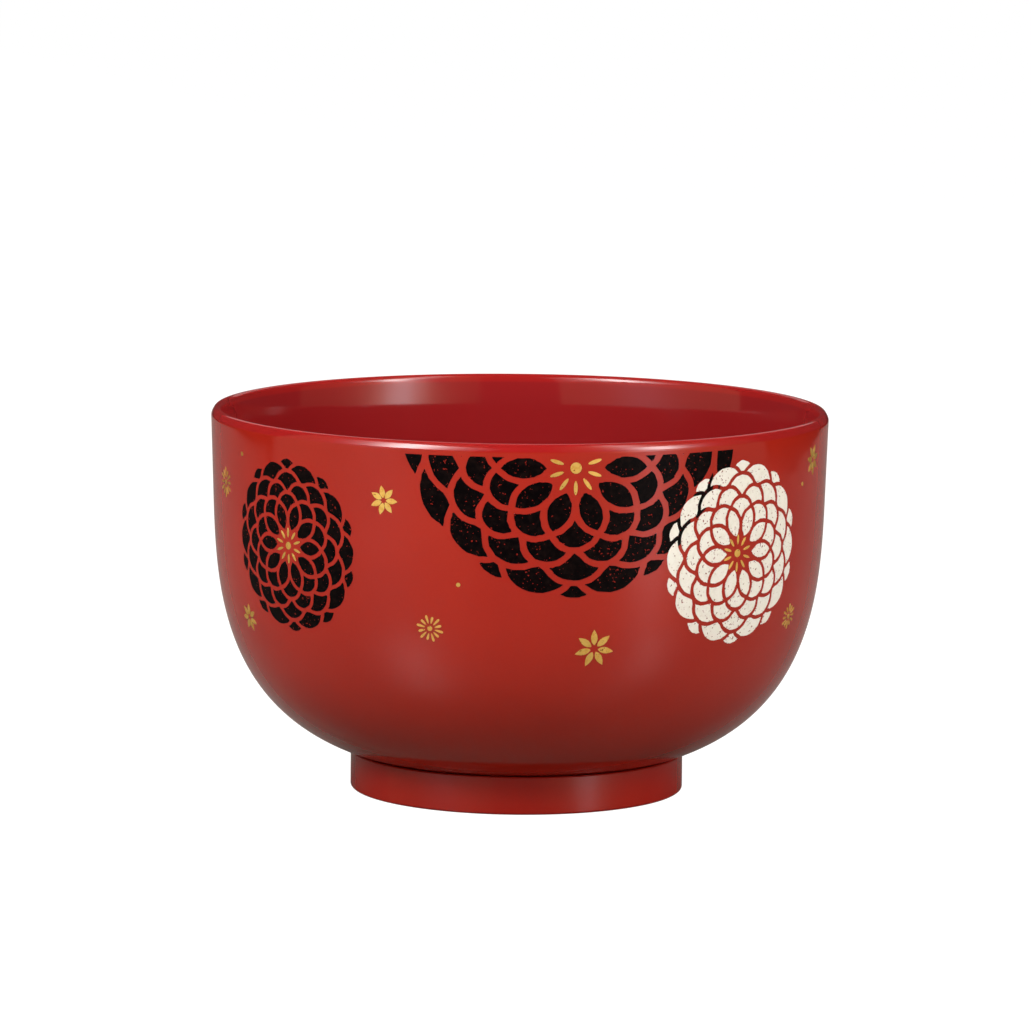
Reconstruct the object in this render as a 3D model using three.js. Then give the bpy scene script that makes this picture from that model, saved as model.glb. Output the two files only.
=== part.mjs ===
// A lacquered donburi bowl: a turned, single-walled body and the foot ring bonded under it.
// Millimetres, +Z up, origin at the centre of the foot's bearing land.
import * as THREE from "three";

// Body, outside
const RIM_DIAMETER = 150;
const BOWL_HEIGHT = 93.3;
const OUTER_DRAFT_DEG = 1.8; // lean of the side wall from upright
const STRAIGHT_SIDE = 21; // depth below the lip at which the side wall starts to curve in
const SHOULDER_PULL = 21.5; // how far the belly keeps to the side wall's line
const BASE_PULL = 34; // how far the belly keeps to the base's line
const BASE_SLOPE_DEG = 19; // rise of the underside where it leaves the foot

// Body, walls and lip
const RIM_WALL = 2.7;
const LIP_DEPTH = 1.9; // depth over which the lip rounds over, half the rim's wall to either side
const LIP_EASE_DEG = 15; // lean of the inside where it leaves the lip
const LIP_EASE_RADIUS = 36; // radius over which the inside then steepens
const INNER_DRAFT_DEG = 3.5; // lean of the inside below that, which thickens the wall downwards
const BASE_WALL = 4.2; // wall over the outer edge of the foot
const FLOOR_THICKNESS = 4; // at the centre, over the recess

// Foot ring
const FOOT_DIAMETER = 81.2;
const FOOT_HEIGHT = 9.5; // from the table to the body's seat
const FOOT_WALL = 4.2;
const FOOT_RECESS = 6; // depth of the hollow under the base
const FOOT_OUTER_EDGE = 0.7; // radius of the land's outer edge
const FOOT_INNER_EDGE = 1.2; // radius of the land's inner edge
const FOOT_LEAD_IN = 0.5; // chamfer in the mouth of the ring's bore
const BOND_GAP = 0.3; // glue line between the ring and the body, on the seat and round the spigot

// Facets
const TURN_SEGMENTS = 80;
const BELLY_STEPS = 14;
const FLOOR_STEPS = 6;
const LIP_STEPS = 6;
const EASE_STEPS = 3;
const EDGE_STEPS = 4;

const rimRadius = RIM_DIAMETER / 2;
const footRadius = FOOT_DIAMETER / 2;
const boreRadius = footRadius - FOOT_WALL;
const spigotRadius = boreRadius - BOND_GAP;
const ringTop = FOOT_HEIGHT - BOND_GAP;
const floorHeight = FOOT_RECESS + FLOOR_THICKNESS;
const outerDraft = THREE.MathUtils.degToRad(OUTER_DRAFT_DEG);
const innerDraft = THREE.MathUtils.degToRad(INNER_DRAFT_DEG);
const lipEase = THREE.MathUtils.degToRad(LIP_EASE_DEG);
const baseSlope = THREE.MathUtils.degToRad(BASE_SLOPE_DEG);

// Profiles are drawn in the plane of radius and height.
function point(radius, height) {
  return new THREE.Vector2(radius, height);
}

// A point a given length away along a direction.
function along(start, direction, length) {
  return start.clone().addScaledVector(direction, length);
}

// Points of an arc about a centre, from one angle to another, both ends included.
function arc(centre, radius, from, to, steps) {
  const points = [];
  for (let i = 0; i <= steps; i += 1) {
    const angle = from + ((to - from) * i) / steps;
    points.push(along(centre, point(Math.cos(angle), Math.sin(angle)), radius));
  }
  return points;
}

// Points of the lip's upper half ellipse, from one turn to another, both ends included.
function lipArc(from, to, steps) {
  const middle = point(rimRadius - RIM_WALL / 2, BOWL_HEIGHT - LIP_DEPTH);
  const reach = point(RIM_WALL / 2, LIP_DEPTH);
  return arc(point(0, 0), 1, from, to, steps).map((turn) => turn.multiply(reach).add(middle));
}

// The turn, measured from level, at which the lip's ellipse runs at a lean from upright.
function lipTurn(lean) {
  return Math.atan((Math.tan(lean) * 2 * LIP_DEPTH) / RIM_WALL);
}

// Where a line that leaves a point in a direction reaches a height.
function atHeight(start, direction, height) {
  return along(start, direction, (height - start.y) / direction.y);
}

// Length of a Bezier end handle once the curve is moved inwards by a wall, from its curvature at that end.
function innerPull(end, handle, nextHandle, wall) {
  const first = handle.clone().sub(end);
  const second = nextHandle.clone().sub(handle);
  const curvature = ((2 / 3) * Math.abs(first.cross(second))) / first.length() ** 3;
  return first.length() * (1 - wall * curvature);
}

// A closed body turned about the Z axis.
function turned(name, profile, material) {
  const geometry = new THREE.LatheGeometry(profile, TURN_SEGMENTS);
  geometry.rotateX(Math.PI / 2);
  const mesh = new THREE.Mesh(geometry, material);
  mesh.name = name;
  return mesh;
}

// The body's half section, from the middle of the underside out, up the side, over the lip and down to the floor.
function bodyProfile() {
  const outerDown = point(-Math.sin(outerDraft), -Math.cos(outerDraft));
  const innerDown = point(-Math.sin(innerDraft), -Math.cos(innerDraft));
  const baseOut = point(Math.cos(baseSlope), Math.sin(baseSlope));
  const baseUp = point(-Math.sin(baseSlope), Math.cos(baseSlope));
  const shoulderHeight = BOWL_HEIGHT - STRAIGHT_SIDE;

  const lipOuter = lipArc(-lipTurn(outerDraft), Math.PI / 2, LIP_STEPS);
  const lipInner = lipArc(Math.PI / 2, Math.PI - lipTurn(lipEase), LIP_STEPS);
  const easeOut = point(Math.cos(lipEase), -Math.sin(lipEase));
  const easeCentre = along(lipInner.at(-1), easeOut, LIP_EASE_RADIUS);
  const ease = arc(easeCentre, LIP_EASE_RADIUS, Math.PI - lipEase, Math.PI - innerDraft, EASE_STEPS);

  const seatEdge = point(footRadius, FOOT_HEIGHT);
  const shoulder = atHeight(lipOuter[0], outerDown, shoulderHeight);
  const shoulderHandle = along(shoulder, outerDown, SHOULDER_PULL);
  const baseHandle = along(seatEdge, baseOut, BASE_PULL);
  const outerBelly = new THREE.CubicBezierCurve(seatEdge, baseHandle, shoulderHandle, shoulder);

  const innerShoulder = atHeight(ease.at(-1), innerDown, shoulderHeight);
  const shoulderWall = shoulder.x - innerShoulder.x;
  const floorEdge = along(seatEdge, baseUp, BASE_WALL);
  const innerBelly = new THREE.CubicBezierCurve(
    innerShoulder,
    along(innerShoulder, innerDown, innerPull(shoulder, shoulderHandle, baseHandle, shoulderWall)),
    along(floorEdge, baseOut, innerPull(seatEdge, baseHandle, shoulderHandle, BASE_WALL)),
    floorEdge,
  );
  const floor = new THREE.QuadraticBezierCurve(
    floorEdge,
    atHeight(floorEdge, baseOut, floorHeight),
    point(0, floorHeight),
  );

  return [
    point(0, FOOT_RECESS),
    point(spigotRadius, FOOT_RECESS),
    point(spigotRadius, FOOT_HEIGHT),
    ...outerBelly.getPoints(BELLY_STEPS),
    ...lipOuter,
    ...lipInner.slice(1),
    ...ease.slice(1),
    ...innerBelly.getPoints(BELLY_STEPS),
    ...floor.getPoints(FLOOR_STEPS).slice(1),
  ];
}

// The ring's section: flat land, rounded edges, upright sides and a chamfered bore.
function ringProfile() {
  const outerEdge = point(footRadius - FOOT_OUTER_EDGE, FOOT_OUTER_EDGE);
  const innerEdge = point(boreRadius + FOOT_INNER_EDGE, FOOT_INNER_EDGE);
  const loop = [
    ...arc(innerEdge, FOOT_INNER_EDGE, Math.PI, 1.5 * Math.PI, EDGE_STEPS),
    ...arc(outerEdge, FOOT_OUTER_EDGE, -Math.PI / 2, 0, EDGE_STEPS),
    point(footRadius, ringTop),
    point(boreRadius + FOOT_LEAD_IN, ringTop),
    point(boreRadius, ringTop - FOOT_LEAD_IN),
  ];
  return [...loop, loop[0]];
}

const redLacquer = new THREE.MeshStandardMaterial({ color: 0xac2921, roughness: 0.15, metalness: 0 });
const footLacquer = new THREE.MeshStandardMaterial({ color: 0x9a2a22, roughness: 0.2, metalness: 0 });

const bowl = new THREE.Group();
bowl.name = "donburi_bowl";
bowl.add(turned("bowl_body", bodyProfile(), redLacquer));
bowl.add(turned("foot_ring", ringProfile(), footLacquer));

export default bowl;
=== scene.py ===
"""A red lacquered rice bowl with printed chrysanthemums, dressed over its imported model."""

import logging
import math
import random
from collections.abc import Callable, Iterable, Mapping, Sequence
from dataclasses import dataclass
from enum import Enum
from functools import cache
from itertools import accumulate, pairwise, product
from typing import Any

import bmesh
import bpy
from bmesh.types import BMesh
from mathutils import Matrix, Vector
from mathutils.geometry import interpolate_bezier


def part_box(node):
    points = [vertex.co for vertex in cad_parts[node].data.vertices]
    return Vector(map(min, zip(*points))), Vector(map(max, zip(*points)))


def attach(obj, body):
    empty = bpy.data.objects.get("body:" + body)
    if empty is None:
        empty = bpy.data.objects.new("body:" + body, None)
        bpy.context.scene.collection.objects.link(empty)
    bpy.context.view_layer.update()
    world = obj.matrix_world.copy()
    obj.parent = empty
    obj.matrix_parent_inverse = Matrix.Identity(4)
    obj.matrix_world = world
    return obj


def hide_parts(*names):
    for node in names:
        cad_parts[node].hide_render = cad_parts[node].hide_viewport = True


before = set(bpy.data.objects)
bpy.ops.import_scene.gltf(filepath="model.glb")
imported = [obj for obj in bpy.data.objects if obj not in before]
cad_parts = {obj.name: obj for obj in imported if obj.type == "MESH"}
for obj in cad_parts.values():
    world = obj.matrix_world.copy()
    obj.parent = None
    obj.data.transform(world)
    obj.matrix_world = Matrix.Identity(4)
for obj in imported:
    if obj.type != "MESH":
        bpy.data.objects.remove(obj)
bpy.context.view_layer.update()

MM = 0.001
FULL_TURN = 2 * math.pi
WELD = 1e-7
Colour = tuple[float, float, float, float]
Film = tuple[BMesh, list[Vector]]
WHITE = "ffffff"
log = logging.getLogger("bowl")


def linear(code: str) -> Colour:
    """Turns a colour as it is seen on a screen into the linear one that a shader takes.

    Args:
        code: The colour as six hexadecimal digits.

    Returns:
        Red, green, blue and an alpha of 1.
    """
    shown = [int(code[i : i + 2], 16) / 255 for i in (0, 2, 4)]
    red, green, blue = (c / 12.92 if c <= 0.04045 else ((c + 0.055) / 1.055) ** 2.4 for c in shown)
    return red, green, blue, 1.0


def math_operator(
    operation: str, reflected: bool = False
) -> Callable[["Value", "Value | float"], "Value"]:
    """Makes an operator for shader sockets.

    Args:
        operation: The Math node's operation.
        reflected: Whether the other term comes first.

    Returns:
        The operator.
    """

    def combine(value: "Value", other: "Value | float") -> "Value":
        """Adds the Math node over both terms."""
        terms = (other, value) if reflected else (value, other)
        return value.shader.node("ShaderNodeMath", {"operation": operation}, dict(enumerate(terms)))

    return combine


class Value:
    """A shader socket that takes part in Python arithmetic."""

    __add__ = __radd__ = math_operator("ADD")
    __mul__ = __rmul__ = math_operator("MULTIPLY")
    __sub__ = math_operator("SUBTRACT")
    __rsub__ = math_operator("SUBTRACT", reflected=True)
    __truediv__ = math_operator("DIVIDE")
    __rtruediv__ = math_operator("DIVIDE", reflected=True)
    __pow__ = math_operator("POWER")
    greatest = math_operator("MAXIMUM")

    def __init__(self, shader: "Shader", socket: bpy.types.NodeSocket) -> None:
        """Wraps one output socket of a shader."""
        self.shader = shader
        self.socket = socket

    def step(self, low: float, high: float) -> "Value":
        """Runs smoothly from 0 at low to 1 at high."""
        settings = {"interpolation_type": "SMOOTHSTEP"}
        return self.shader.node("ShaderNodeMapRange", settings, {0: self, 1: low, 2: high})


class Shader:
    """The node tree of a material or of the world, built one node at a time."""

    def __init__(self, owner: bpy.types.Material | bpy.types.World) -> None:
        """Empties a node tree and gives it an output.

        Args:
            owner: The material or the world that the tree belongs to.
        """
        owner.use_nodes = True
        self.tree = owner.node_tree
        self.tree.nodes.clear()
        kind = "World" if isinstance(owner, bpy.types.World) else "Material"
        self.output = self.tree.nodes.new(f"ShaderNodeOutput{kind}")

    def node(
        self,
        kind: str,
        settings: Mapping[str, Any] | None = None,
        sockets: Mapping[int | str, Any] | None = None,
        output: int | str = 0,
    ) -> Value:
        """Adds a node.

        Args:
            kind: The node's type.
            settings: Its own properties, set first.
            sockets: Numbers, colours or links for its inputs, by name or place.
            output: The output to hand back.

        Returns:
            That output.
        """
        made = self.tree.nodes.new(kind)
        for key, value in (settings or {}).items():
            setattr(made, key, value)
        for key, value in (sockets or {}).items():
            if isinstance(value, Value):
                self.tree.links.new(value.socket, made.inputs[key])
            else:
                made.inputs[key].default_value = value
        return Value(self, made.outputs[output])

    def vector(self, operation: str, *terms: Value | tuple[float, ...], output: int | str = 0) -> Value:
        """Adds one Vector Math node over these terms."""
        settings = {"operation": operation}
        return self.node("ShaderNodeVectorMath", settings, dict(enumerate(terms)), output)

    def place(self) -> Value:
        """The point on the piece, in metres from the middle of the bowl's foot."""
        return self.node("ShaderNodeTexCoord", output="Object")

    def coordinate(self, axis: str) -> Value:
        """That point's distance along the X, Y or Z axis."""
        return self.node("ShaderNodeSeparateXYZ", {}, {0: self.place()}, axis)

    def noise(self, wavelength: float, detail: float = 2.0, rough: float = 0.5) -> Value:
        """Noise from 0 to 1 whose lumps are about this far apart, in metres."""
        sockets = {"Vector": self.place(), "Scale": 1 / wavelength, "Detail": detail, "Roughness": rough}
        return self.node("ShaderNodeTexNoise", {}, sockets)

    def blend(self, factor: Value, first: Colour | Value, second: Colour | Value) -> Value:
        """Mixes two colours, from the first at 0 to the second at 1."""
        return self.node("ShaderNodeMix", {"data_type": "RGBA"}, {0: factor, 6: first, 7: second}, 2)

    def bump(self, height: Value, depth: float, strength: float) -> Value:
        """The surface normal over a relief of this depth in metres."""
        sockets = {"Height": height, "Distance": depth, "Strength": strength}
        return self.node("ShaderNodeBump", {}, sockets)

    def facing_out(self) -> Value:
        """Tells faces that look out from the bowl's axis and down from those that look in or up.

        Returns:
            Above 0 for the first kind and below 0 for the second.
        """
        out = self.vector("NORMALIZE", self.vector("MULTIPLY", self.place(), (1, 1, 0)))
        tipped = self.vector("SUBTRACT", out, (0, 0, 0.3))
        normal = self.node("ShaderNodeNewGeometry", output="Normal")
        return self.vector("DOT_PRODUCT", normal, tipped, output="Value")

    def seen(self, in_gloss: float | Value) -> Value:
        """Tells what the camera sees from what only lights the bowl.

        Args:
            in_gloss: How much of what the camera sees shows in a gloss as well.

        Returns:
            1 for what is seen straight or through glass, that share for gloss and 0 for other light.
        """
        rays = ("Is Camera Ray", "Is Transmission Ray", "Is Glossy Ray")
        camera, clear, glossy = (self.node("ShaderNodeLightPath", output=ray) for ray in rays)
        return camera.greatest(clear).greatest(glossy * in_gloss)

    def close(self, surface: Value) -> None:
        """Joins the last shader to the output."""
        self.tree.links.new(surface.socket, self.output.inputs["Surface"])


def new_shader(name: str) -> tuple[bpy.types.Material, Shader]:
    """Makes an empty material.

    Args:
        name: The material's name.

    Returns:
        The material and its shader.
    """
    material = bpy.data.materials.new(name)
    return material, Shader(material)


@dataclass(frozen=True)
class Lacquer:
    """Poured lacquer: one deep colour, a mirror gloss and a faintly uneven skin.

    Attributes:
        colour: The colour of the coat.
        deep: The colour where the coat is thickest.
        inside: A darker coat colour painted on faces that look in or up, as painted shade for the dimmer
            light inside the bowl.
        peel: The depth of the skin's unevenness.
        lip: A darker coat colour over the lip, painted shade for its upturned faces that the lamps light
            more.
        lip_shade_start: The height where the lip's painted shade starts.
        lip_shade_fade: The height over which that painted shade takes the place of the other coats.
        ior: The lacquer's index of refraction.
    """

    slot: str
    colour: str
    deep: str
    inside: str
    roughness: float
    peel: float
    # Painted shade: a darker coat over the lip, for its upturned faces that the lamps light more.
    lip: str = "981b1a"
    lip_shade_start: float = 91.1 * MM
    lip_shade_fade: float = 0.7 * MM
    ior: float = 1.45

    @cache
    def material(self) -> bpy.types.Material:
        """Makes the lacquer's material, once.

        Returns:
            The material.
        """
        material, shader = new_shader(self.slot)
        cloud = shader.noise(38 * MM, 3.0).step(0.3, 0.75)
        grain = shader.noise(0.5 * MM).step(0.35, 0.8)
        coat = shader.blend(cloud * 0.75 + grain * 0.25, linear(self.colour), linear(self.deep))
        # Painted shade: faces that look in or up take the darker inside colour, for the dimmer light
        # inside the bowl.
        coat_and_inside_shade = shader.blend(shader.facing_out().step(-0.08, 0.08), linear(self.inside), coat)
        # Painted shade: the lip's top takes the darker lip colour.
        lip_shade_mask = shader.coordinate("Z").step(self.lip_shade_start, self.lip_shade_start + self.lip_shade_fade)
        colour = shader.blend(lip_shade_mask, coat_and_inside_shade, linear(self.lip))
        haze = shader.noise(16 * MM, 4.0, 0.6).step(0.35, 0.8)
        wave, ripple = shader.noise(9 * MM, 1.0), shader.noise(2.2 * MM, 1.0)
        sockets = {
            "Base Color": colour,
            "Roughness": haze * (0.5 * self.roughness) + self.roughness,
            "IOR": self.ior,
            "Normal": shader.bump(wave + ripple * 0.2, self.peel, 0.6),
        }
        shader.close(shader.node("ShaderNodeBsdfPrincipled", {}, sockets))
        return material


@dataclass(frozen=True)
class Ink:
    """Screen-printed ink with pinholes that let the lacquer show.

    Attributes:
        shade: The colour where the ink is mottled.
        pinhole: The colour of a pinhole.
        pinhole_span: The distance between pinholes.
        pinhole_level: The noise that makes a pinhole, so that more of it gives fewer.
        gloss: The strength of the gloss.
        metal: 1 for a metallic ink.
        patchiness: How much the pinholes crowd in places.
        grit: The height of the grit in the surface.
    """

    slot: str
    colour: str
    shade: str
    pinhole: str
    pinhole_span: float
    pinhole_level: float
    roughness: float
    gloss: float
    metal: float = 0.0
    patchiness: float = 0.16
    grit: float = 0.04 * MM

    @cache
    def material(self) -> bpy.types.Material:
        """Makes the ink's material, once.

        Returns:
            The material.
        """
        material, shader = new_shader(self.slot)
        mottle = shader.noise(1.3 * MM, 3.0, 0.65).step(0.4, 0.75)
        body = shader.blend(mottle, linear(self.colour), linear(self.shade))
        patchy = shader.noise(11 * MM) * self.patchiness
        speck = shader.noise(self.pinhole_span, 2.0, 0.55) + patchy
        level = self.pinhole_level + self.patchiness / 2
        bare = speck.step(level, level + 0.035)
        relief = shader.noise(0.6 * MM) - bare
        sockets = {
            "Base Color": shader.blend(bare, body, linear(self.pinhole)),
            "Metallic": self.metal,
            "Roughness": mottle * 0.15 + self.roughness,
            "Specular IOR Level": self.gloss,
            "Normal": shader.bump(relief, self.grit, 0.35),
        }
        shader.close(shader.node("ShaderNodeBsdfPrincipled", {}, sockets))
        return material


# The inside colours of these lacquers are painted shade for faces that look in or up.
RED_LACQUER = Lacquer("red_lacquer", "a72415", "9d2013", "881a1c", roughness=0.07, peel=0.05 * MM)
FOOT_LACQUER = Lacquer("foot_lacquer", "a52218", "9a1e15", "9a1e15", roughness=0.1, peel=0.05 * MM)
BLACK_INK = Ink("black_print", "050304", "150b0a", "8c241b", 0.6 * MM, 0.672, roughness=0.35, gloss=0.04)
IVORY_INK = Ink("ivory_print", "f4f2e9", "ece9de", "8a4a40", 0.6 * MM, 0.645, roughness=0.4, gloss=0.2)
GOLD_INK = Ink(
    "gold_print", "fdd878", "efbd58", "b07028", 0.7 * MM, 0.66, roughness=0.42, gloss=0.4, metal=1.0
)


def heading(angle: float) -> Vector:
    """The direction at an angle in the half section, from straight out towards up."""
    return Vector((math.cos(angle), 0, math.sin(angle)))


def arc(centre: Vector, radius: float, start: float, end: float, steps: int) -> list[Vector]:
    """Points along an arc in the plane of the half section.

    Args:
        centre: The arc's centre.
        radius: Its radius.
        start: The angle of the first point, from straight out towards up.
        end: The angle of the last point.
        steps: The number of chords.

    Returns:
        The points, both ends included.
    """
    angles = (start + (end - start) * i / steps for i in range(steps + 1))
    return [centre + radius * heading(angle) for angle in angles]


def piece_of(bm: BMesh, name: str) -> bpy.types.Object:
    """Makes an object at the origin out of a finished mesh.

    Args:
        bm: The mesh, in the bowl's frame, which is freed.
        name: The object's name.

    Returns:
        The object, shaded smooth.
    """
    mesh = bpy.data.meshes.new(name)
    for face in bm.faces:
        face.smooth = True
    bm.to_mesh(mesh)
    bm.free()
    piece = bpy.data.objects.new(name, mesh)
    bpy.context.scene.collection.objects.link(piece)
    return piece


def turned(section: Sequence[Vector], segments: int, crease: float, name: str) -> bpy.types.Object:
    """Turns a half section round the upright axis into a closed piece.

    Args:
        section: The points of the half section, out from the axis and back to it, or round a ring.
        segments: The number of steps in a turn.
        crease: The angle from which an edge looks sharp.
        name: The piece's name.

    Returns:
        The piece.
    """
    bm = bmesh.new()
    verts = [bm.verts.new(point) for point in section]
    edges = [bm.edges.new(pair) for pair in pairwise(verts)]
    if section[0].x > 0:
        edges.append(bm.edges.new((verts[-1], verts[0])))
    around = {"cent": (0, 0, 0), "axis": (0, 0, 1), "angle": FULL_TURN, "steps": segments}
    bmesh.ops.spin(bm, geom=verts + edges, use_merge=True, **around)
    bmesh.ops.remove_doubles(bm, verts=bm.verts, dist=WELD)
    bmesh.ops.recalc_face_normals(bm, faces=bm.faces)
    piece = piece_of(bm, name)
    piece.data.set_sharp_from_angle(angle=crease)
    return piece


def fit(piece: bpy.types.Object, finish: Lacquer | Ink, *stands_for: str) -> bpy.types.Object:
    """Dresses a piece and fixes it to the bowl.

    Args:
        piece: The piece.
        finish: Its finish.
        stands_for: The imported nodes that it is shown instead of.

    Returns:
        The piece.
    """
    piece.data.materials.append(finish.material())
    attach(piece, "root")
    if stands_for:
        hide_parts(*stands_for)
    return piece


@dataclass(frozen=True)
class BowlBody:
    """The bowl above its foot, turned from one half section.

    Sizes are in metres and angles in radians.
    """

    rim_radius: float
    height: float
    underside: float
    seat_radius: float
    seat_height: float
    spigot_radius: float
    wall: float = 2.7 * MM
    lip_depth: float = 1.9 * MM
    lip_crown: float = 1.0 * MM
    lip_slope: tuple[float, float] = (math.radians(20), math.radians(35))
    lip_slope_radius: float = 5 * MM
    lip_corner: float = 1.5 * MM
    lip_ease: float = math.radians(15)
    lip_ease_radius: float = 36 * MM
    outer_draft: float = math.radians(1.8)
    inner_draft: float = math.radians(3.5)
    straight_side: float = 21 * MM
    shoulder_pull: float = 21.5 * MM
    base_pull: float = 34 * MM
    base_slope: float = math.radians(19)
    base_wall: float = 4.2 * MM
    floor: float = 4 * MM
    segments: int = 256
    belly_steps: int = 48
    side_steps: int = 8
    floor_steps: int = 16
    crease: float = math.radians(40)

    def outer_lip(self) -> list[Vector]:
        """Rounds the outer side of the lip: a soft corner, an eased slope and a small crown.

        Returns:
            The points from the side up to the crest.
        """
        low, high = self.lip_slope
        side = Vector((self.rim_radius - self.lip_corner, 0, 0))
        slope = side - (self.lip_slope_radius - self.lip_corner) * heading(low)
        crown = slope + (self.lip_slope_radius - self.lip_crown) * heading(high)
        points = [
            *arc(side, self.lip_corner, -self.outer_draft, low, steps=8),
            *arc(slope, self.lip_slope_radius, low, high, steps=8)[1:],
            *arc(crown, self.lip_crown, high, math.pi / 2, steps=10)[1:],
        ]
        rise = Vector((0, 0, self.height - points[-1].z))
        return [point + rise for point in points]

    def inner_lip(self) -> list[Vector]:
        """Rounds the inner side of the lip, a quarter of an ellipse that eases into the inside.

        Returns:
            The points from the crest down to the inner side.
        """
        crest = self.outer_lip()[-1]
        reach = Vector((crest.x - self.rim_radius + self.wall, 0, self.lip_depth))
        turn = math.pi - math.atan(math.tan(self.lip_ease) * reach.z / reach.x)
        middle = crest - Vector((0, 0, reach.z))
        quarter = arc(Vector((0, 0, 0)), 1.0, math.pi / 2, turn, steps=12)
        round_over = [middle + way * reach for way in quarter]
        centre = round_over[-1] + self.lip_ease_radius * heading(-self.lip_ease)
        first, last = math.pi - self.lip_ease, math.pi - self.inner_draft
        ease = arc(centre, self.lip_ease_radius, first, last, steps=12)
        return [*round_over, *ease[1:]]

    def outside(self) -> list[Vector]:
        """Draws the outside.

        Returns:
            The points from the seat of the foot up to the lip's crest.
        """
        lip = self.outer_lip()
        shoulder, shoulder_handle, base_handle, seat = self.outer_belly()
        belly = interpolate_bezier(seat, base_handle, shoulder_handle, shoulder, self.belly_steps + 1)
        side = [shoulder.lerp(lip[0], i / self.side_steps) for i in range(1, self.side_steps)]
        return [*belly, *side, *lip]

    def outer_belly(self) -> tuple[Vector, Vector, Vector, Vector]:
        """Places the ends and handles of the outer belly.

        Returns:
            The shoulder, its handle, the seat's handle and the seat.
        """
        start = self.outer_lip()[0]
        down = Vector((-math.sin(self.outer_draft), 0, -math.cos(self.outer_draft)))
        shoulder = start + down * ((start.z - self.height + self.straight_side) / -down.z)
        seat = Vector((self.seat_radius, 0, self.seat_height))
        out = heading(self.base_slope)
        return shoulder, shoulder + self.shoulder_pull * down, seat + self.base_pull * out, seat

    def inside(self) -> list[Vector]:
        """Draws the inside, a wall's thickness from the outside.

        Returns:
            The points from below the lip down to the middle of the floor.
        """
        shoulder, shoulder_handle, base_handle, seat = self.outer_belly()
        start = self.inner_lip()[-1]
        down = Vector((-math.sin(self.inner_draft), 0, -math.cos(self.inner_draft)))
        inner_shoulder = start + down * ((start.z - self.height + self.straight_side) / -down.z)
        out = heading(self.base_slope)
        floor_edge = seat + self.base_wall * Vector((-out.z, 0, out.x))
        upper = self.drawn_in(shoulder, shoulder_handle, base_handle, shoulder.x - inner_shoulder.x)
        lower = self.drawn_in(seat, base_handle, shoulder_handle, self.base_wall)
        handles = inner_shoulder + upper * down, floor_edge + lower * out
        belly = interpolate_bezier(inner_shoulder, *handles, floor_edge, self.belly_steps + 1)
        side = [start.lerp(inner_shoulder, i / self.side_steps) for i in range(1, self.side_steps)]
        middle = Vector((0, 0, self.underside + self.floor))
        corner = floor_edge - out * ((floor_edge.z - middle.z) / out.z)
        handles = floor_edge.lerp(corner, 2 / 3), middle.lerp(corner, 2 / 3)
        bottom = interpolate_bezier(floor_edge, *handles, middle, self.floor_steps + 1)
        return [*side, *belly, *bottom[1:]]

    def drawn_in(self, end: Vector, handle: Vector, far: Vector, thickness: float) -> float:
        """Shortens a handle for the curve that runs a wall's thickness inside another.

        Args:
            end: The outer curve's end.
            handle: The handle at that end.
            far: The other handle.
            thickness: The wall there.

        Returns:
            The inner handle's length.
        """
        first = handle - end
        curvature = (2 / 3) * first.cross(far - handle).length / first.length**3
        return first.length * (1 - thickness * curvature)

    def section(self) -> list[Vector]:
        """Draws the whole half section.

        Returns:
            The points from the middle of the underside, round by the lip, to the middle of the floor.
        """
        below = [Vector((r, 0, self.underside)) for r in (0, self.spigot_radius / 2, self.spigot_radius)]
        seat = Vector((self.spigot_radius, 0, self.seat_height))
        return [*below, seat, *self.outside(), *self.inner_lip()[1:], *self.inside()]

    def build(self, finish: Lacquer) -> bpy.types.Object:
        """Turns and lacquers the body."""
        body = turned(self.section(), self.segments, self.crease, "lacquered_body")
        return fit(body, finish, "bowl_body")


@dataclass(frozen=True)
class FootRing:
    """The foot that the bowl stands on, a low turned ring with eased edges. Sizes are in metres."""

    radius: float
    height: float
    wall: float = 4.2 * MM
    outer_edge: float = 0.7 * MM
    inner_edge: float = 1.2 * MM
    lead_in: float = 0.5 * MM
    top_edge: float = 0.25 * MM
    segments: int = 256
    crease: float = math.radians(30)

    def section(self) -> list[Vector]:
        """Draws the ring's section, from the bore round by the land.

        Returns:
            The closed section's points.
        """
        bore = self.radius - self.wall
        inner = Vector((bore + self.inner_edge, 0, self.inner_edge))
        outer = Vector((self.radius - self.outer_edge, 0, self.outer_edge))
        down = -math.pi / 2
        top = [
            (self.radius, self.height - self.top_edge),
            (self.radius - self.top_edge, self.height),
            (bore + self.lead_in, self.height),
            (bore, self.height - self.lead_in),
        ]
        return [
            *arc(inner, self.inner_edge, -math.pi, down, steps=8),
            *arc(outer, self.outer_edge, down, 0, steps=8),
            *(Vector((r, 0, z)) for r, z in top),
        ]

    def build(self, finish: Lacquer) -> bpy.types.Object:
        """Turns and lacquers the foot."""
        foot = turned(self.section(), self.segments, self.crease, "lacquered_foot")
        return fit(foot, finish, "foot_ring")


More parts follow.
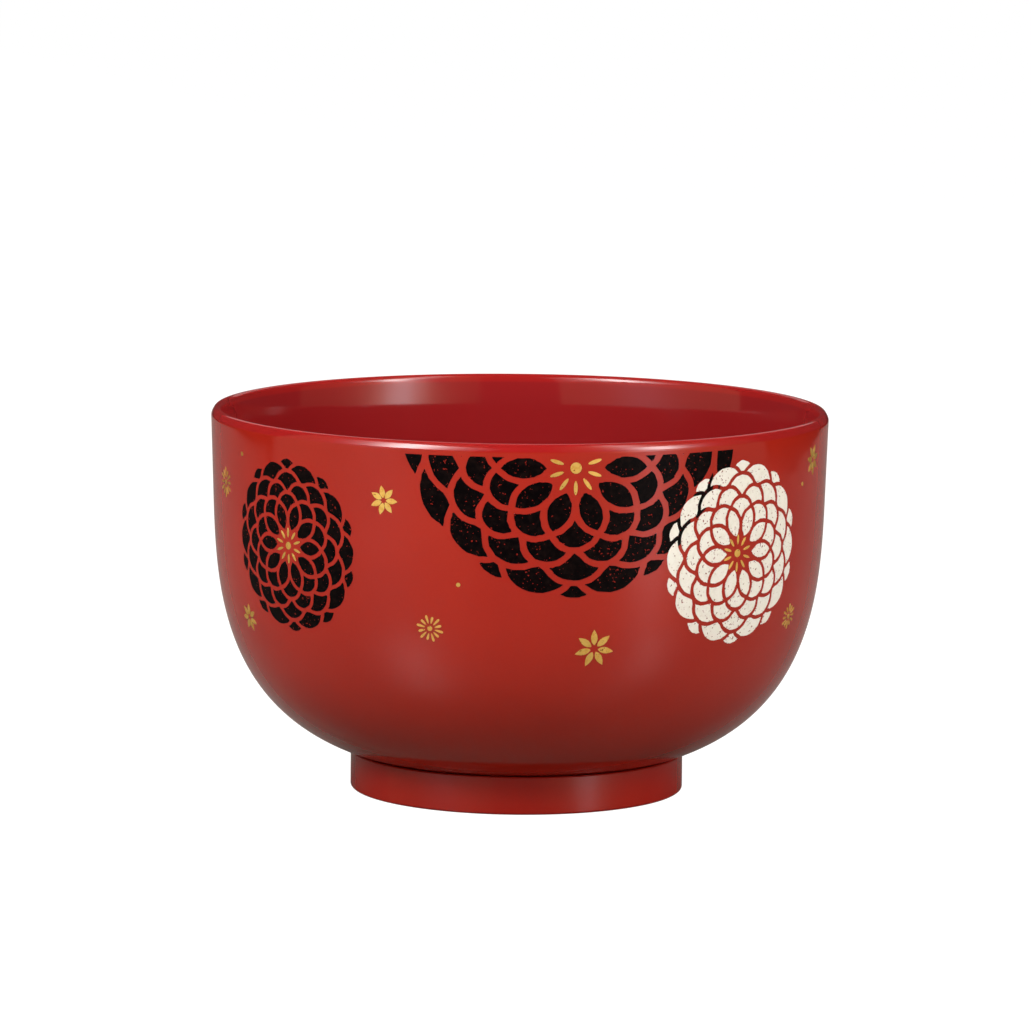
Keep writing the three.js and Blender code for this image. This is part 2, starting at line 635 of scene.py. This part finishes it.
class OuterSkin:
    """The outside of the bowl, measured along its slope from the lip's crest."""

    def __init__(self, line: Sequence[Vector]) -> None:
        """Measures the outside.

        Args:
            line: The points of its half section, from the seat up.
        """
        self.line = list(reversed(line))
        steps = [(b - a).length for a, b in pairwise(self.line)]
        self.drops = list(accumulate(steps, initial=0.0))

    def drop_of(self, height: float) -> float:
        """How far down the slope a height lies.

        Args:
            height: The height above the table.

        Returns:
            The distance along the slope from the crest.
        """
        for (a, b), drop in zip(pairwise(self.line), self.drops, strict=False):
            if b.z <= height:
                return drop + (a - b).length * (a.z - height) / (a.z - b.z)
        return self.drops[-1]

    def lay(self, azimuth: float, across: float, drop: float, proud: float) -> tuple[Vector, Vector]:
        """Finds where a point of a flat drawing lies on the bowl.

        Args:
            azimuth: The drawing's place round the bowl, from the front to the right, in radians.
            across: The distance to the right of it.
            drop: The distance down the slope.
            proud: The distance that it stands off the lacquer.

        Returns:
            The point and the direction straight out of the bowl there.
        """
        i = max(k for k, d in enumerate(self.drops[:-1]) if d <= max(drop, 0))
        a, b = self.line[i], self.line[i + 1]
        on = a.lerp(b, (drop - self.drops[i]) / (self.drops[i + 1] - self.drops[i]))
        ahead = self.line[min(i + 2, len(self.line) - 1)] - a
        behind = b - self.line[max(i - 1, 0)]
        slope = (ahead + behind).normalized()
        out = Vector((-slope.z, 0, slope.x))
        angle = azimuth + across / on.x
        turn = Matrix.Rotation(angle - math.pi / 2, 3, "Z")
        return turn @ (on + proud * out), turn @ out


class Print:
    """A film of ink that is drawn flat, cut out and laid on the outside of the bowl."""

    def __init__(self, skin: OuterSkin, azimuth: float, height: float) -> None:
        """Starts a drawing about a point of the bowl.

        Args:
            skin: The outside of the bowl.
            azimuth: The point's place round the bowl, in degrees from the front to the right.
            height: Its height above the table.
        """
        self.skin = skin
        self.azimuth = math.radians(azimuth)
        self.drop = skin.drop_of(height)
        self.bm = bmesh.new()

    def fill(self, outline: Iterable[Vector]) -> None:
        """Inks one closed outline, given in metres, with X to the right and Y up the slope."""
        self.bm.faces.new([self.bm.verts.new((p.x, p.y, 0)) for p in outline])

    def slice(self, place: Vector, normal: Vector, cut_off: bool = False) -> None:
        """Cuts every shape along a line.

        Args:
            place: A point on the line.
            normal: The direction across it.
            cut_off: Whether what lies beyond the line is thrown away.
        """
        geometry = [*self.bm.verts, *self.bm.edges, *self.bm.faces]
        bmesh.ops.bisect_plane(
            self.bm, geom=geometry, dist=WELD, plane_co=place, plane_no=normal, clear_outer=cut_off
        )

    def trim_above(self, height: float) -> None:
        """Cuts off what lies above a height."""
        self.slice(Vector((0, self.drop - self.skin.drop_of(height), 0)), Vector((0, 1, 0)), True)

    def lay(self, proud: float, sunk: float = 0.03 * MM, grid: float = 3 * MM) -> Film:
        """Gives the film its thickness and wraps it round the bowl.

        Args:
            proud: How far its face stands off the lacquer.
            sunk: How far its back lies under the lacquer.
            grid: The spacing of the cuts that let it bend.

        Returns:
            The film, and the outward direction at each vertex.
        """
        for axis in (Vector((1, 0, 0)), Vector((0, 1, 0))):
            reach = [v.co.dot(axis) for v in self.bm.verts]
            for i in range(math.ceil(min(reach) / grid), math.floor(max(reach) / grid) + 1):
                self.slice(axis * (i * grid), axis)
        self.bm.normal_update()
        bmesh.ops.reverse_faces(self.bm, faces=[face for face in self.bm.faces if face.normal.z < 0])
        bmesh.ops.solidify(self.bm, geom=self.bm.faces[:], thickness=-1.0)
        bmesh.ops.recalc_face_normals(self.bm, faces=self.bm.faces)
        middle = sum(v.co.z for v in self.bm.verts) / len(self.bm.verts)
        outward = []
        for vert in self.bm.verts:
            stand = proud if vert.co.z > middle else -sunk
            vert.co, out = self.skin.lay(self.azimuth, vert.co.x, self.drop - vert.co.y, stand)
            outward.append(out)
        return self.bm, outward


def printed(films: Iterable[Film], name: str, ink: Ink) -> bpy.types.Object:
    """Joins films of one ink into a piece.

    Args:
        films: The films and their outward directions.
        name: The piece's name.
        ink: The ink.

    Returns:
        The piece.
    """
    joined = bmesh.new()
    normals: list[Vector] = []
    for bm, outward in films:
        part = bpy.data.meshes.new(name)
        bm.to_mesh(part)
        bm.free()
        joined.from_mesh(part)
        bpy.data.meshes.remove(part)
        normals += outward
    piece = piece_of(joined, name)
    piece.data.normals_split_custom_set_from_vertices(normals)
    return fit(piece, ink)


class PetalShape(Enum):
    """How the half width of a blossom's petal runs from its root, at 0, to its tip, at 1."""

    LEAF = "leaf"
    CLUB = "club"
    GRAIN = "grain"

    def half_width(self, share: float) -> float:
        """Shapes the petal's side.

        Args:
            share: How far along the petal, from 0 to 1.

        Returns:
            Half the width there, where 1 is the widest.
        """
        if self is PetalShape.LEAF:
            return math.sin(math.pi * share**0.85) ** 0.9
        if self is PetalShape.CLUB:
            return (0.3 + 0.7 * share) * math.sqrt(max(0.0, 1 - share**6)) * min(1.0, 6 * share) ** 0.5
        return math.sqrt(max(0.0, 1 - (2 * share - 1) ** 2)) ** 1.1


def stroke(shape: PetalShape, axis: float, root: float, tip: float, width: float) -> list[Vector]:
    """Draws one petal of a blossom.

    Args:
        shape: The petal's form.
        axis: The way that it points, from the right towards up, in radians.
        root: How far out it starts.
        tip: How far out it ends.
        width: Its full width.

    Returns:
        The outline's points.
    """
    steps = 7
    shares = [(1 - math.cos(math.pi * i / steps)) / 2 for i in range(steps + 1)]
    side = [(root + (tip - root) * s, width / 2 * shape.half_width(s)) for s in shares]
    turn = Matrix.Rotation(axis, 2)
    right = [turn @ Vector((along, -half)) for along, half in side]
    left = [turn @ Vector((along, half)) for along, half in reversed(side[1:-1])]
    return right + left


def disc(radius: float, steps: int = 20) -> list[Vector]:
    """Draws a round dot about the middle."""
    angles = (FULL_TURN * i / steps for i in range(steps))
    return [radius * Vector((math.cos(angle), math.sin(angle))) for angle in angles]


@dataclass(frozen=True)
class Blossom:
    """A small gold blossom, or a dot where it has no petals.

    Sizes are in millimetres, and azimuths in degrees from the front to the right.

    Attributes:
        root: How far out a petal starts.
        tip: How far out a petal ends.
        short_tip: How far out every second petal ends, or 0 where all are alike.
        width: A petal's width.
        turn: The way the first petal points, in degrees from the right towards up.
        dot: The radius of the dot in the middle.
        clear: How far out each petal has to keep to the room.
        room: The height of the room above the middle.
    """

    azimuth: float
    height: float
    shape: PetalShape = PetalShape.LEAF
    count: int = 0
    root: float = 0.0
    tip: float = 0.0
    short_tip: float = 0.0
    width: float = 0.0
    turn: float = 0.0
    dot: float = 0.0
    clear: float = 0.0
    room: float = math.inf

    def draw(self, drawing: Print) -> None:
        """Draws the dot and the petals.

        Args:
            drawing: The drawing about the blossom's middle.
        """
        if self.dot:
            drawing.fill(disc(self.dot * MM))
        for i in range(self.count):
            tip = self.short_tip if self.short_tip and i % 2 else self.tip
            axis = math.radians(self.turn) + FULL_TURN * i / self.count
            if math.sin(axis) * self.clear < self.room:
                drawing.fill(stroke(self.shape, axis, self.root * MM, tip * MM, self.width * MM))


@dataclass(frozen=True)
class Round:
    """A circle in the plane of a flower, in millimetres from the flower's middle."""

    centre: Vector
    radius: float

    def span(self, way: Vector, swell: float) -> tuple[float, float]:
        """Follows a ray from the flower's middle through the circle.

        Args:
            way: The ray's direction, of length 1.
            swell: How much larger the circle is taken to be.

        Returns:
            How far out the ray enters and leaves it, the wrong way round where it misses.
        """
        along = self.centre.dot(way)
        depth = (self.radius + swell) ** 2 - self.centre.length_squared + along**2
        if depth <= 0:
            return math.inf, -math.inf
        return along - math.sqrt(depth), along + math.sqrt(depth)


@dataclass(frozen=True)
class Petal:
    """One petal of a flower, the part that its circles have in common."""

    axis: float
    rounds: tuple[Round, ...]

    def span(self, angle: float, swell: float = 0.0) -> tuple[float, float]:
        """Follows a ray from the flower's middle through the petal.

        Args:
            angle: The ray's angle.
            swell: How much larger the petal is taken to be.

        Returns:
            How far out the ray enters and leaves it, the wrong way round where it misses.
        """
        way = Vector((math.cos(angle), math.sin(angle)))
        spans = [circle.span(way, swell) for circle in self.rounds]
        return max(near for near, _ in spans), min(far for _, far in spans)


@dataclass(frozen=True)
class PetalRow:
    """A ring of like petals, in millimetres on a flower of size 1.

    Attributes:
        middle: How far the petals' middles lie from the flower's.
        radius: The radius of a round petal, or half the length of a pointed one.
        places: The petals' axes, in tenths of a half turn.
        half_width: Half the width of a pointed petal, or 0 for a round one.
    """

    middle: float
    radius: float
    places: tuple[float, ...]
    half_width: float = 0.0

    def petals(self) -> list[Petal]:
        """Sets out the ring.

        Returns:
            Its petals.
        """
        made = []
        for place in self.places:
            axis = math.pi * place / 10
            out = Vector((math.cos(axis), math.sin(axis)))
            if self.half_width:
                radius = (self.radius**2 + self.half_width**2) / (2 * self.half_width)
                aside = out.orthogonal() * (radius - self.half_width)
                rounds = tuple(Round(out * self.middle + aside * side, radius) for side in (1, -1))
            else:
                rounds = (Round(out * self.middle, self.radius),)
            made.append(Petal(axis, rounds))
        return made


IN_LINE = tuple(range(0, 20, 2))
BETWEEN = tuple(range(1, 20, 2))
INNER_ROWS = (
    PetalRow(7.17, 3.12, IN_LINE, 1.6),
    PetalRow(9.35, 2.95, BETWEEN),
    PetalRow(12.27, 2.9, IN_LINE),
    PetalRow(13.48, 4.0, BETWEEN),
    PetalRow(15.41, 4.8, IN_LINE),
)
ROUND_ROWS = (*INNER_ROWS, PetalRow(17.7, 3.0, BETWEEN))
# The wide flower has broader petals at its left and right ends.
WIDE_ROWS = (
    *INNER_ROWS[:-1],
    PetalRow(15.41, 4.8, (2, 4, 6, 8, 12, 14, 16, 18)),
    PetalRow(14.24, 6.34, (9.59,)),
    PetalRow(14.24, 6.68, (0.41,)),
    PetalRow(16.7, 3.5, (3, 5, 7, 13, 15, 17)),
    PetalRow(15.01, 7.01, (10.71,)),
    PetalRow(15.01, 6.45, (19.29,)),
    PetalRow(15.3, 9.92, (8.99,)),
    PetalRow(14.77, 10.2, (0.56,)),
)


@dataclass(frozen=True)
class Chrysanthemum:
    """A flower of overlapping petals, ten to a row, with each row lying under the row inside it.

    Sizes are in millimetres, and azimuths in degrees from the front to the right.

    Attributes:
        size: Its size, where 1 leaves the rows as they are.
        rows: The rows of petals, from the inside out.
        stretch: Its width over its height.
        gap: The bare line round each petal.
        heart: How far right, in degrees, and up its gold heart is off.
        trim_height: The height where it is cut off, or 0 where it is whole.
        jitter: The raggedness of the edges.
        least_depth: The depth of the thinnest petal that is drawn.
        end_depth: A petal's depth at its ends.
        reach: The most that a petal turns from its axis, in radians.
        overlap: How far apart petals that overlap may be, in radians.
    """

    name: str
    ink: Ink
    azimuth: float
    height: float
    size: float
    rows: tuple[PetalRow, ...] = ROUND_ROWS
    stretch: float = 1.0
    gap: float = 0.95
    heart: tuple[float, float] = (0.0, 0.0)
    trim_height: float = 0.0
    jitter: float = 0.07
    seed: int = 1
    steps: int = 14
    least_depth: float = 0.4
    end_depth: float = 0.04
    reach: float = math.pi / 7
    overlap: float = math.pi / 4
    halvings: int = 20

    def shown(self, petal: Petal, over: Sequence[Petal], angle: float) -> tuple[float, float]:
        """Finds what shows of a petal along a ray.

        Args:
            petal: The petal.
            over: The petals that may lie over it.
            angle: The ray's angle.

        Returns:
            Where the part that shows starts and ends.
        """
        start, end = petal.span(angle)
        covered = [upper.span(angle, self.gap)[1] for upper in over]
        return max(start, *covered) if covered else start, end

    def sweep(self, petal: Petal, over: Sequence[Petal], side: int) -> float:
        """Finds how far a petal's visible part reaches round from its axis.

        Args:
            petal: The petal.
            over: The petals that may lie over it.
            side: 1 to look the way that angles grow, -1 to look the other way.

        Returns:
            The angle, 0 where the petal is hidden.
        """
        inside, outside = 0.0, self.reach
        start, end = self.shown(petal, over, petal.axis)
        if end - start < self.least_depth:
            return 0.0
        for _ in range(self.halvings):
            middle = (inside + outside) / 2
            start, end = self.shown(petal, over, petal.axis + side * middle)
            inside, outside = (middle, outside) if end - start > self.end_depth else (inside, middle)
        return inside

    def outline(self, petal: Petal, over: Sequence[Petal], rng: random.Random) -> list[Vector]:
        """Draws what shows of a petal, with the slightly ragged edge of a print.

        Args:
            petal: The petal.
            over: The petals that may lie over it.
            rng: The source of the raggedness.

        Returns:
            The outline in metres, empty where the petal is hidden.
        """
        back, on = (self.sweep(petal, over, side) for side in (-1, 1))
        if not back:
            return []
        turns = [math.cos(math.pi * i / self.steps) for i in range(self.steps + 1)]
        angles = [petal.axis - turn * (back if turn > 0 else on) for turn in turns]
        spans = [(self.shown(petal, over, angle), angle) for angle in angles]
        points = [(span[0], angle) for span, angle in spans]
        points += [(span[1], angle) for span, angle in reversed(spans)]
        drawn = []
        for radius, angle in points:
            radius += rng.uniform(-self.jitter, self.jitter)
            angle += rng.uniform(-self.jitter, self.jitter) / radius
            across = radius * math.cos(angle) * self.stretch
            drawn.append(Vector((across, radius * math.sin(angle))) * self.size * MM)
        return drawn

    def draw(self, drawing: Print) -> None:
        """Draws the petals, row by row.

        Args:
            drawing: The drawing about the flower's middle.
        """
        rng = random.Random(self.seed)
        laid: list[Petal] = []
        for row in self.rows:
            petals = row.petals()
            for petal in petals:
                over = [p for p in laid if math.cos(p.axis - petal.axis) > math.cos(self.overlap)]
                outline = self.outline(petal, over, rng)
                if outline:
                    drawing.fill(outline)
            laid += petals
        if self.trim_height:
            drawing.trim_above(self.trim_height * MM)

    def heart_blossom(self) -> Blossom:
        """Draws the gold dot and stamens in the middle.

        Returns:
            The heart, without the stamens that the cut would run through.
        """
        right, up = self.heart
        return Blossom(
            self.azimuth + right,
            self.height + up,
            PetalShape.GRAIN,
            count=10,
            root=2.0 * self.size,
            tip=4.2 * self.size,
            width=0.6 * self.size,
            turn=18,
            dot=0.88 * self.size,
            clear=2.6 * self.size,
            room=self.trim_height - self.height if self.trim_height else math.inf,
        )


FLOWERS = (
    Chrysanthemum("print_black_side", BLACK_INK, -46.95, 65.8, 1.0, seed=3),
    Chrysanthemum(
        "print_black_rim", BLACK_INK, 10.08, 87.85, 1.51, WIDE_ROWS, 1.118, trim_height=90.38, seed=5
    ),
    Chrysanthemum("print_ivory", IVORY_INK, 44.45, 65.5, 1.065, gap=0.92, heart=(-0.55, 0.0), seed=7),
)

BLOSSOMS = (
    Blossom(-24.96, 79.05, PetalShape.LEAF, 7, 0.6, 3.5, 0.0, 1.4, 100),
    Blossom(-16.38, 49.35, PetalShape.CLUB, 12, 1.2, 3.3, 2.9, 0.8, 105, 0.6),
    Blossom(14.4, 44.95, PetalShape.LEAF, 7, 0.9, 4.7, 0.0, 1.6, 93),
    Blossom(-10.88, 60.1, dot=0.5),
    Blossom(-61.75, 85.6, dot=0.5),
    Blossom(64.6, 79.35, dot=0.5),
    Blossom(-70.2, 77.5, PetalShape.CLUB, 12, 1.3, 3.7, 3.2, 0.85, 90, 0.65),
    Blossom(-62.9, 46.0, PetalShape.LEAF, 7, 0.7, 3.4, 0.0, 1.3, 80),
    Blossom(69.6, 84.4, PetalShape.LEAF, 7, 0.7, 3.7, 0.0, 1.4, 70),
    Blossom(63.4, 47.5, PetalShape.CLUB, 12, 1.2, 3.2, 2.8, 0.8, 95, 0.6),
)


@dataclass(frozen=True)
class PrintedBand:
    """The prints on the outside, the group on the front and the same group on the back."""

    skin: OuterSkin
    copies: tuple[float, ...] = (0.0, 180.0)
    black_proud: float = 0.05 * MM
    ivory_proud: float = 0.09 * MM
    gold_proud: float = 0.07 * MM

    def films(self, motifs: Iterable[Blossom | Chrysanthemum], proud: float) -> list[Film]:
        """Prints each motif on every side of the bowl.

        Args:
            motifs: The blossoms or flowers.
            proud: How far they stand off the lacquer.

        Returns:
            The films.
        """
        made = []
        for motif, turn in product(motifs, self.copies):
            drawing = Print(self.skin, motif.azimuth + turn, motif.height * MM)
            motif.draw(drawing)
            made.append(drawing.lay(proud))
        return made

    def build(self) -> list[bpy.types.Object]:
        """Prints the flowers, their gold hearts and the small blossoms.

        Returns:
            The pieces.
        """
        made = []
        for flower in FLOWERS:
            proud = self.ivory_proud if flower.ink is IVORY_INK else self.black_proud
            made.append(printed(self.films([flower], proud), flower.name, flower.ink))
        hearts = [flower.heart_blossom() for flower in FLOWERS]
        for name, motifs in (("print_gold_hearts", hearts), ("print_gold_blossoms", BLOSSOMS)):
            made.append(printed(self.films(motifs, self.gold_proud), name, GOLD_INK))
        return made


@dataclass(frozen=True)
class Panel:
    """A lit sheet of cloth, brightest along a core that runs up it. Sizes are in metres.

    Attributes:
        azimuth: Where it stands, in degrees from the camera's side to the right.
        distance: How far from the bowl, along the table.
        middle: The height of its middle.
        lean: How far it leans over towards the bowl, in degrees.
        glow: Its brightness all over, where 1 is white.
        core: The brightness that the core adds.
        shift: How far right of the middle the core runs.
        spread: How far the core reaches to either side.
        tint: The colour of its light away from the core.
        in_gloss: Whether it shows in a gloss, or only lights.
    """

    name: str
    azimuth: float
    distance: float
    middle: float
    lean: float
    width: float
    height: float
    glow: float = 0.0
    core: float = 0.0
    shift: float = 0.0
    spread: float = 1.0
    tint: str = "ffdcb4"
    in_gloss: bool = True

    def build(self) -> None:
        """Stands the panel up, out of the camera's sight."""
        bm = bmesh.new()
        bmesh.ops.create_grid(bm, x_segments=1, y_segments=1, size=0.5)
        turn = Matrix.Rotation(math.radians(self.azimuth), 4, "Z")
        stand = Matrix.Translation((0, -self.distance, self.middle))
        upright = Matrix.Rotation(math.radians(90 - self.lean), 4, "X")
        bm.transform(turn @ stand @ upright @ Matrix.Diagonal((self.width, self.height, 1, 1)))
        panel = piece_of(bm, self.name)
        panel.data.materials.append(self.material())
        panel.visible_camera = False
        panel.visible_glossy = self.in_gloss

    def material(self) -> bpy.types.Material:
        """Lights the panel.

        Returns:
            The material.
        """
        material, shader = new_shader(self.name)
        angle = math.radians(self.azimuth)
        right = (math.cos(angle), math.sin(angle), 0)
        across = shader.vector("DOT_PRODUCT", shader.place(), right, output="Value")
        off = (across - self.shift) / self.spread
        share = 1 / (off * off + 1) ** 2
        colour = shader.blend(share, linear(self.tint), linear(WHITE))
        strength = share * self.core + self.glow
        shader.close(shader.node("ShaderNodeEmission", {}, {"Color": colour, "Strength": strength}))
        return material


PANELS = (
    Panel("screen_left", -58, 1.6, 1.6, 0, 2.84, 3.2, glow=0.6, core=0.4, shift=0.18, spread=0.59),
    Panel("screen_right", 58, 1.6, 1.6, 0, 2.84, 3.2, glow=0.27, core=4.8, shift=-0.23, spread=0.44),
    Panel("lamp_left", -45, 0.92, 0.77, 40, 1.2, 0.48, core=23, spread=0.26, tint=WHITE),
    Panel("lamp_right", 56, 0.99, 0.67, 34, 1.0, 0.34, core=17.5, spread=0.2, tint=WHITE),
    Panel("fill_back", 180, 1.15, 0.96, 40, 1.5, 1.0, glow=0.7, tint=WHITE),
    Panel("fill_soft", 180, 1.05, 0.88, 40, 1.5, 1.0, glow=2.2, tint=WHITE, in_gloss=False),
)


@dataclass(frozen=True)
class Studio:
    """A white table, the light and the camera.

    Sizes are in metres, angles in degrees, and the lens and sensor in millimetres.

    Attributes:
        table_reach: How far the table reaches to either side.
        table_side: The direction that its right side faces.
        table_slant: How far back its corners lie, for each metre across.
        painted_shadow_reach: The distances from the bowl over which a painted shadow round the foot
            fades from the table's shine.
        table_gloss: How much of the table's white shows in a gloss.
        room_gloss: How much of the room's white shows in a gloss.
        ambient: The light that the room gives.
    """

    camera_distance: float = 1.46776
    camera_height: float = 0.264657
    pitch: float = 7.6812
    yaw: float = -0.0327
    roll: float = 0.586
    lens: float = 212.19
    sensor: float = 36.0
    clip: float = 100
    floor_size: float = 12.0
    table_reach: float = 0.572
    table_side: tuple[float, float] = (0.951, 0.308)
    table_slant: float = 0.155
    table_blur: float = 0.006
    corner_blur: float = 0.012
    painted_shadow_reach: tuple[float, float] = (0.03, 0.12)
    table_gloss: float = 0.12
    room_gloss: float = 0.05
    ambient: float = 0.04

    def build(self) -> None:
        """Sets up the floor, the light and the camera."""
        bpy.context.scene.view_settings.view_transform = "Standard"
        self.add_floor()
        self.add_world()
        for panel in PANELS:
            panel.build()
        self.add_camera()

    def add_floor(self) -> None:
        """Lays a glossy table with dull ground behind and beside it, both white to the camera."""
        bm = bmesh.new()
        bmesh.ops.create_grid(bm, x_segments=1, y_segments=1, size=self.floor_size / 2)
        floor = piece_of(bm, "floor")
        material, shader = new_shader("pale_floor")
        right, back = shader.coordinate("X"), shader.coordinate("Y")
        left = right * -1
        side_right, side_back = self.table_side
        out = (right * side_right + back * side_back).greatest(left)
        beyond = out.step(self.table_reach - self.table_blur, self.table_reach + self.table_blur)
        corner = back - right.greatest(left) * self.table_slant
        near = 1 - beyond * corner.step(-self.corner_blur, self.corner_blur)
        # Painted shadow: the table's white fades out of a gloss near the bowl's foot, standing in for
        # the bowl's shadow there.
        clear_of_painted_shadow = shader.vector("LENGTH", shader.place(), output="Value").step(*self.painted_shadow_reach)
        shine = shader.seen(near * clear_of_painted_shadow * self.table_gloss)
        white = {"Emission Color": linear(WHITE), "Emission Strength": shine}
        table = {"Base Color": linear("766f66"), "Roughness": 0.25, "Specular IOR Level": 0.35, **white}
        ground = {"Base Color": linear("202020"), "Roughness": 0.9, "Specular IOR Level": 0.0, **white}
        top, under = (shader.node("ShaderNodeBsdfPrincipled", {}, s) for s in (table, ground))
        shader.close(shader.node("ShaderNodeMixShader", {}, {0: near, 1: under, 2: top}))
        floor.data.materials.append(material)

    def add_world(self) -> None:
        """Fills the room with a faint even light, and white where the camera looks."""
        world = bpy.data.worlds.new("studio_room")
        bpy.context.scene.world = world
        shader = Shader(world)
        strength = shader.seen(self.room_gloss).greatest(self.ambient)
        shader.close(shader.node("ShaderNodeBackground", {}, {"Strength": strength}))

    def add_camera(self) -> None:
        """Stands the camera in front of the bowl."""
        data = bpy.data.cameras.new("camera")
        data.lens = self.lens
        data.sensor_width = self.sensor
        data.clip_end = self.clip
        camera = bpy.data.objects.new("camera", data)
        aim = Matrix.Rotation(math.radians(-self.yaw), 4, "Z")
        tilt = Matrix.Rotation(math.pi / 2 - math.radians(self.pitch), 4, "X")
        lean = Matrix.Rotation(math.radians(self.roll), 4, "Z")
        stand = Matrix.Translation((0, -self.camera_distance, self.camera_height))
        camera.matrix_world = stand @ aim @ tilt @ lean
        bpy.context.scene.collection.objects.link(camera)
        bpy.context.scene.camera = camera


def main() -> None:
    """Builds the bowl, its prints and the studio."""
    logging.basicConfig(level=logging.INFO, format="%(message)s")
    body_low, body_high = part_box("bowl_body")
    foot_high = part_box("foot_ring")[1]
    bond = 0.3 * MM
    foot = FootRing(foot_high[0], foot_high[2])
    body = BowlBody(
        rim_radius=body_high[0],
        height=body_high[2],
        underside=body_low[2],
        seat_radius=foot.radius,
        seat_height=foot.height + bond,
        spigot_radius=foot.radius - foot.wall - bond,
    )
    pieces = [body.build(RED_LACQUER), foot.build(FOOT_LACQUER)]
    pieces += PrintedBand(OuterSkin(body.outside())).build()
    for piece in pieces:
        log.info("%s: %d faces", piece.name, len(piece.data.polygons))
    Studio().build()


if __name__ == "__main__":
    main()
